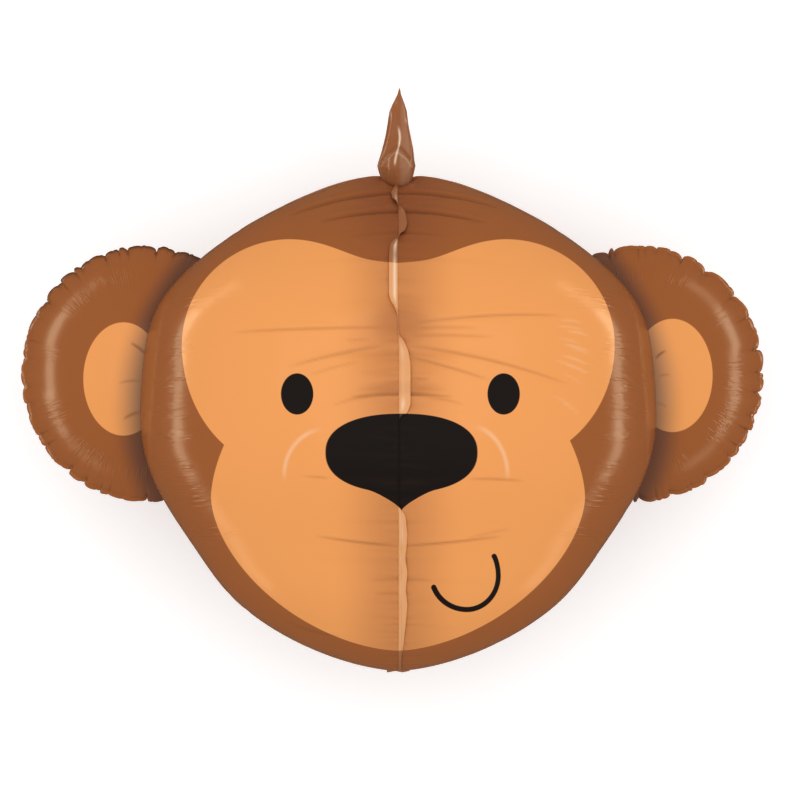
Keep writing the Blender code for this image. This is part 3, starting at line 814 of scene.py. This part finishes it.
def strip(name, places, seal_angle, width, lean, ruffle, glint=0.0):
    """Thin closed strip along a seal: lean 1 lays it on the film to one side and -1 to the other.
    glint is how bright the painted highlight along its crest is, from 0 to 1."""
    line = head_surface(places, seal_angle)
    line_radius = np.maximum(np.linalg.norm((line - HEAD_MIDDLE)[:, [0, 2]], axis=1), 0.02)
    beside = []
    for sign in (1, -1):
        flat = head_surface(places, seal_angle + sign * STRIP_SIDE / line_radius) - line
        beside.append(flat / np.linalg.norm(flat, axis=1, keepdims=True))
    out = grid_normals(np.stack([line - beside[0] + beside[1], line, line + beside[0] - beside[1]], 1),
                       HEAD_MIDDLE)[:, 1]
    over = np.where(lean[:, None] > 0, beside[0], beside[1])
    share = np.linspace(0, 1, STRIP_COLUMNS)[None, :]
    bend = np.abs(lean)[:, None] * np.clip(BEND_AT_ROOT + BEND_GAIN * share, 0, 1) * np.pi / 2
    bend = bend + ruffle[:, None] * share ** 2
    heading = np.cos(bend)[..., None] * out[:, None] + np.sin(bend)[..., None] * over[:, None]
    step = width[:, None, None] / (STRIP_COLUMNS - 1)
    path = line[:, None] + np.cumsum(heading * step, axis=1) - 0.5 * heading[:, :1] * step
    path = np.concatenate([line[:, None] - STRIP_ROOT * out[:, None], path], axis=1)
    bend = np.concatenate([bend[:, :1], bend], axis=1)
    facing = np.cos(bend)[..., None] * over[:, None] - np.sin(bend)[..., None] * out[:, None]
    facing = facing * np.where(lean > 0, 1, -1)[:, None, None]
    half = facing * FILM_THICKNESS / 2
    points = np.concatenate([path + half, (path - half)[:, ::-1]], axis=1)
    points[..., 2] = np.maximum(points[..., 2], 0.0)
    crest = np.exp(-((share - CREST_PLACE) / CREST_WIDTH) ** 2)
    crest = crest * np.broadcast_to(glint, places.shape)[:, None]
    crest = np.concatenate([np.zeros((len(places), 1)), crest], axis=1)
    made = piece_from_grid(name, points, (None, None),
                           {"shade_and_glint": -np.concatenate([crest, crest[:, ::-1]], axis=1)})
    made.data.materials.append(margin_film)
    return made


def ruffles(places, waves, size):
    """Uneven small waves along a strip."""
    phase = luck.uniform(0, 2 * np.pi, 3)
    wobble = np.sin(2 * np.pi * waves * 0.31 * places + phase[0])
    wave = np.sin(2 * np.pi * waves * places + 1.5 * wobble + phase[1])
    return size * wave * (0.6 + 0.4 * np.sin(2 * np.pi * waves * 0.17 * places + phase[2]))


NARROW_END = 0.02
NARROWING = 0.25  # share of the seal over which a margin grows from its least width to its full one


def narrowed(places, least):
    """Share of its width that a margin has at each place, down to the least at its two ends."""
    slim = np.clip((np.minimum(places, 1 - places) - NARROW_END) / NARROWING, 0, 1)
    return least + (1 - least) * slim


# The front margin by height on the drawing: the side on which it lies, where -1 is the left, its
# width in drawing units and how bright the painted highlight on its crest is.
FLOPS = np.array([
    (174, -0.3, 1, 0), (187, -0.6, 3, 0), (195, -0.9, 7, 0.1), (201, -0.75, 6, 0.6),
    (208, 0.0, 3, 0), (215, 0.9, 7, 0), (226, 0.9, 9, 0), (234, 0.8, 7, 0),
    (240, 0.0, 3, 0), (247, -0.93, 8, 0.8), (256, -0.95, 9, 0.3), (268, -0.95, 9, 0.8),
    (296, -0.95, 9, 0.8), (303, -0.9, 7, 0.3), (312, -0.4, 3, 0), (318, 0.0, 2, 0),
    (334, 0.0, 2, 0), (339, 0.7, 5, 0.1), (352, 0.95, 10, 0.3), (364, 0.97, 12, 0.1),
    (396, 0.97, 12, 0.1), (405, 0.97, 12, 0.6), (413, 0.97, 9, 0.1), (419, 0.97, 1.5, 0),
    (507, 0.97, 1.5, 0), (514, 0.97, 7, 0.2), (534, 0.97, 9, 0.3), (546, 0.97, 8, 0),
    (557, 0.9, 7, 0.2), (570, 0.97, 9, 0), (588, 0.9, 7.5, 0.2), (604, 0.97, 9, 0),
    (626, 0.9, 7, 0.1), (662, 0.9, 3, 0),
], float)
SOFTENED_OVER = 13  # rows of the strip over which a change of side or width is spread
BACK_END_SHARE = 0.15  # of its width that a margin keeps at its ends
SIDE_END_SHARE = 0.10
UNDER_EAR = 0.01  # share of the seal that a side margin runs on under the ear
SIDE_STEPS = 2000

places = np.linspace(FIRST_PLACE, LAST_PLACE, STRIP_ROWS)
heights = down_the_drawing(head_surface(places, 0.0)[:, 1])
side_of_face, wide, shine = (np.interp(heights, FLOPS[:, 0], FLOPS[:, column]) for column in (1, 2, 3))
soften = np.hanning(SOFTENED_OVER) / np.hanning(SOFTENED_OVER).sum()
side_of_face, wide = (np.convolve(np.pad(row, SOFTENED_OVER // 2, "edge"), soften, "valid")
                      for row in (side_of_face, wide))
strip("front_margin", places, 0.0, wide * UNIT, side_of_face, ruffles(places, *FRONT_RUFFLES), shine)
strip("back_margin", places, np.pi, BACK_MARGIN * narrowed(places, BACK_END_SHARE),
      np.full(STRIP_ROWS, BACK_LEAN), ruffles(places, *BACK_RUFFLES))
for side, word in ((1, "right"), (-1, "left")):
    finely = np.linspace(FIRST_PLACE, LAST_PLACE, SIDE_STEPS)
    side_line = head_surface(finely, side * np.pi / 2)
    off_x = (np.abs(side_line[:, 0]) - EAR_CENTRE_X) / (EAR_HALF_WIDTH + EAR_RIM)
    off_y = (side_line[:, 1] - EAR_CENTRE_Y) / (EAR_HALF_HEIGHT + EAR_RIM)
    covered = finely[np.hypot(off_x, off_y) < 1]
    stretches = {"above": (FIRST_PLACE, covered[0] + UNDER_EAR),
                 "below": (covered[-1] - UNDER_EAR, LAST_PLACE)}
    for part, (low, high) in stretches.items():
        there = np.linspace(low, high, STRIP_ROWS)
        strip(f"{word}_margin_{part}", there, side * np.pi / 2,
              SIDE_MARGIN * narrowed(there, SIDE_END_SHARE), np.full(STRIP_ROWS, side * SIDE_LEAN),
              ruffles(there, *SIDE_RUFFLES))


# Tuft of hair: a narrow spike of the same film, half puffed, pinched where it leaves the crown.
# A rounded flap of slack film covers the lower part of its front, and a seal runs up the middle.

TUFT_LENGTH = 0.1175
TUFT_LEAN = math.radians(9)
TUFT_ROOT = 0.020  # how far below the crown it starts
TUFT_SHIFT = 0.002  # to the left of the middle of the head
TUFT_ROWS = 150
TUFT_COLUMNS = 96
TUFT_SQUARENESS = 1.35  # between the 1 of a diamond and the 2 of an oval
# Heights above its foot and the half-width at each, both in drawing units.
TUFT_HEIGHTS = np.array([0, 2, 5, 8, 14, 20, 26, 32, 38, 44, 50, 56, 62, 68, 74, 80, 86, 92, 96, 102])
TUFT_WIDTHS = np.array([9, 11, 12.5, 13.5, 15.2, 17, 18.8, 17.8, 17, 16, 14.5, 13, 11.5, 10.2, 9.2, 8.2,
                        6, 3.5, 1.8, 0.5])
FLAP_PEAK = 0.41  # height of the flap's top edge at the middle, as a share of the tuft's length
FLAP_FALL = 0.17  # how much lower its top edge lies at its shoulders, a distance from the middle
FLAP_SHOULDER = 17
FLAP_CURVE = 1.4
FLAP_BULGE = 0.0035
FLAP_HALF_WIDTH = 19
TUFT_SEAL_HEIGHT = 0.0016
TUFT_SEAL_HALF_WIDTH = 0.0011
TUFT_SEAL_SWAY = 2
share = np.linspace(0, 1, TUFT_ROWS)[:, None]
angle = np.linspace(0, 2 * np.pi, TUFT_COLUMNS, endpoint=False)[None, :]
half_width = np.interp(share, TUFT_HEIGHTS / TUFT_HEIGHTS[-1], TUFT_WIDTHS * UNIT)
half_width = half_width * np.where(np.sin(angle) < 0, 1 + 0.10 * np.sin(9 * share + 0.5), 1)
half_depth = half_width * np.interp(share, [0, 0.25, 0.6, 1], [0.85, 0.75, 0.6, 0.8])
diamond = (np.abs(np.cos(angle)) ** TUFT_SQUARENESS
           + np.abs(np.sin(angle)) ** TUFT_SQUARENESS) ** (-1 / TUFT_SQUARENESS)
aside = half_width * diamond * np.sin(angle)
depth = half_depth * diamond * np.cos(angle)
# The slack flap: its top edge is a peak at the middle, and it bulges towards the viewer.
flap_top = FLAP_PEAK - FLAP_FALL * (np.abs(aside) / (FLAP_SHOULDER * UNIT)) ** FLAP_CURVE
in_flap = smooth_step(flap_top + 0.012, flap_top - 0.004, share) * (np.cos(angle) > 0)
bulge = FLAP_BULGE * np.sqrt(np.clip(1 - (aside / (FLAP_HALF_WIDTH * UNIT)) ** 2, 0, 1))
depth = depth + in_flap * bulge * smooth_step(0.0, 0.1, share)
# Folds along the spike, and the seal up its middle.
folds = 0.0012 * np.sin(3 * angle + 5 * share + 1) + 0.0008 * np.sin(5 * angle - 11 * share)
seal_off = (aside - (TUFT_SEAL_SWAY * UNIT) * np.sin(10 * share + 2)) / TUFT_SEAL_HALF_WIDTH
seal = TUFT_SEAL_HEIGHT * np.exp(-seal_off ** 2)
depth = depth + (folds + seal * (np.cos(angle) > 0)) * smooth_step(0.02, 0.2, share) * (half_width / 0.02)
start = np.array([HEAD_MIDDLE_X - TUFT_SHIFT, HEAD_MIDDLE_Y + HEAD_HALF_HEIGHT - TUFT_ROOT, SEAL_Z])
up = np.array([0, math.cos(TUFT_LEAN), math.sin(TUFT_LEAN)])
ahead = np.array([0, -math.sin(TUFT_LEAN), math.cos(TUFT_LEAN)])
drift = np.interp(share, [0, 0.3, 1], [0.002, 0.0, 0.0035])
points = (start + share[..., None] * (TUFT_LENGTH + 0.002) * up + depth[..., None] * ahead
          + (aside + drift)[..., None] * np.array([1.0, 0, 0]))
# Painted highlights along the seal's crest and on the flap's edge, painted shade on the film just
# above the flap and at the sides, and the right half a little lighter.
in_front = np.cos(angle) > 0
crest = smooth_step(0.27, 0.33, share) * smooth_step(0.66, 0.58, share)
crest_off = (aside - 0.0005 - 0.0022 * np.sin(14 * share + 0.5)) / TUFT_SEAL_HALF_WIDTH
crest = crest * np.exp(-crest_off ** 2)
edge = np.exp(-((share - flap_top) / 0.010) ** 2)
behind = np.exp(-((share - flap_top - 0.040) / 0.022) ** 2)
rims = np.clip((np.abs(aside) / half_width - 0.80) / 0.15, 0, 1)
shade_and_glint = in_front * (0.35 * behind - 0.95 * crest - 0.16 * edge) + 0.30 * rims
shade_and_glint = shade_and_glint - 0.10 * smooth_step(0.0, 0.008, aside)
tuft = piece_from_grid("hair_tuft", points, (None, points[-1].mean(0)), {"shade_and_glint": shade_and_glint})
tuft.data.materials.append(film_material("tuft_film", shade=0.5, lightened=0.2, roughness=0.18))


# Filling neck: a flat tail of two layers of the same film, through which the balloon is filled. It
# leaves the chin between the panels and folds back under the head.

NECK_HALF_WIDTH = 0.013
NECK_LENGTH = 0.058
NECK_HALF_THICKNESS = 0.0006
NECK_ROOT = 0.014  # how far inside the chin it starts
NECK_FOLD = math.radians(86)
NECK_FOLD_FROM = 0.05  # shares of its length between which it folds back
NECK_FOLD_TO = 0.30
NECK_RIPPLE = 0.0007
NECK_ROWS = 60
NECK_COLUMNS = 15
bend = np.linspace(0, 1, NECK_ROWS)[:, None]
fold_angle = NECK_FOLD * smooth_step(NECK_FOLD_FROM, NECK_FOLD_TO, bend)
heading = np.stack([np.zeros_like(fold_angle), -np.cos(fold_angle), -np.sin(fold_angle)], -1)
chin = HEAD_MIDDLE - np.array([0, HEAD_HALF_HEIGHT - NECK_ROOT, 0])
path = np.cumsum(heading * NECK_LENGTH / NECK_ROWS, axis=0) + chin
across = np.linspace(-1, 1, NECK_COLUMNS)[None, :]
facing = np.stack([np.zeros_like(fold_angle), -np.sin(fold_angle), np.cos(fold_angle)], -1)
ripple = NECK_RIPPLE * np.sin(5 * across + 6 * bend)
middle = path + facing * ripple[..., None]
middle[..., 0] += NECK_HALF_WIDTH * across
points = np.concatenate([middle + facing * NECK_HALF_THICKNESS,
                         (middle - facing * NECK_HALF_THICKNESS)[:, ::-1]], axis=1)
neck = piece_from_grid("filling_neck", points, (None, None))
neck.data.materials.append(margin_film)


# Floor, light and camera: a pale floor, even light from above and five low bands of light in an arc
# on either side, which give the bands of shine on the head and the ears.

FLOOR_REACH = 6
FLOOR_WHITE = (0.93, 0.93, 0.93, 1)
FLOOR_IN_SHINE = (0.17, 0.11, 0.075, 1)
FLOOR_GLOW = (0.30, 0.30, 0.30, 1)
WORLD_LIGHT = (0.84, 0.84, 0.84, 1)
WORLD_IN_SHINE = (0.15, 0.125, 0.11, 1)
WHITE = (1, 1, 1, 1)
BLACK = (0, 0, 0, 1)
floor_corners = [(-FLOOR_REACH, -FLOOR_REACH, 0), (FLOOR_REACH, -FLOOR_REACH, 0),
                 (FLOOR_REACH, FLOOR_REACH, 0), (-FLOOR_REACH, FLOOR_REACH, 0)]
floor_mesh = bpy.data.meshes.new("floor")
floor_mesh.from_pydata(floor_corners, [], [(0, 1, 2, 3)])
floor = bpy.data.objects.new("floor", floor_mesh)
bpy.context.collection.objects.link(floor)
paper = bpy.data.materials.new("floor_paper")
paper.use_nodes = True
n = Nodes(paper.node_tree)
seen = n.make("ShaderNodeLightPath").outputs
sheet_shader = paper.node_tree.nodes["Principled BSDF"]
paper.node_tree.links.new(n.mix(seen["Is Glossy Ray"], FLOOR_WHITE, FLOOR_IN_SHINE),
                          sheet_shader.inputs["Base Color"])
paper.node_tree.links.new(n.mix(seen["Is Camera Ray"], BLACK, FLOOR_GLOW),
                          sheet_shader.inputs["Emission Color"])
sheet_shader.inputs["Emission Strength"].default_value = 1.0
sheet_shader.inputs["Roughness"].default_value = 0.9
floor_mesh.materials.append(paper)


def softbox(name, place, aim, size, power):
    """Rectangular lamp at a place, turned towards aim."""
    lamp = bpy.data.lights.new(name, "AREA")
    lamp.shape = "RECTANGLE"
    lamp.size, lamp.size_y = size
    lamp.energy = power
    holder = bpy.data.objects.new(name, lamp)
    holder.location = place
    direction = np.array(aim, float) - np.array(place, float)
    holder.rotation_mode = "QUATERNION"
    holder.rotation_quaternion = Vector(direction).to_track_quat("-Z", "Y")
    bpy.context.collection.objects.link(holder)
    return holder


OVERHEAD_PLACE = (0.0, 0.3, 3.2)
OVERHEAD_AIM = (0, 0, 0.2)
OVERHEAD_SIZE = (3.0, 3.0)
OVERHEAD_POWER = 29
softbox("overhead", OVERHEAD_PLACE, OVERHEAD_AIM, OVERHEAD_SIZE, OVERHEAD_POWER)
# Only the shine on the film shows the low bands. Each one: its angle round the object from the side,
# its height and its power.
BANDS = ((-46, 0.14, 3), (-20, 0.18, 9), (0, 0.31, 11), (22, 0.16, 11), (44, 0.15, 4))
BAND_RADIUS = 2.0
BAND_AIM = (0, 0, 0.25)
BAND_SIZE = (0.80, 0.31)
BAND_COLOUR = (1.0, 0.84, 0.58)
for side, word in ((1, "right"), (-1, "left")):
    for degrees, height, power in BANDS:
        turn = math.radians(degrees)
        place = (side * BAND_RADIUS * math.cos(turn), BAND_RADIUS * math.sin(turn), height)
        band = softbox(f"{word}_band_{degrees}", place, BAND_AIM, BAND_SIZE, power)
        band.data.color = BAND_COLOUR
        band.visible_diffuse = False
        band.visible_camera = False

world = bpy.data.worlds.new("studio")
world.use_nodes = True
n = Nodes(world.node_tree)
seen = n.make("ShaderNodeLightPath").outputs
around = n.mix(seen["Is Camera Ray"], WORLD_LIGHT, WHITE)
world.node_tree.links.new(n.mix(seen["Is Glossy Ray"], around, WORLD_IN_SHINE),
                          world.node_tree.nodes["Background"].inputs[0])
bpy.context.scene.world = world
bpy.context.scene.view_settings.view_transform = "Standard"

# The picture is a square of the drawing. The camera stands so far off that near and far parts of the
# balloon show at nearly one scale.
CAMERA_DISTANCE = 30.0
PICTURE_WIDTH = 800
PICTURE_MIDDLE = (400, 400)
SENSOR_WIDTH = 36
lens = bpy.data.cameras.new("camera")
lens.sensor_width = SENSOR_WIDTH
lens.lens = SENSOR_WIDTH * CAMERA_DISTANCE / (PICTURE_WIDTH * UNIT)
camera = bpy.data.objects.new("camera", lens)
camera.location = (*spot(*PICTURE_MIDDLE), SEAL_Z + CAMERA_DISTANCE)
bpy.context.collection.objects.link(camera)
bpy.context.scene.camera = camera
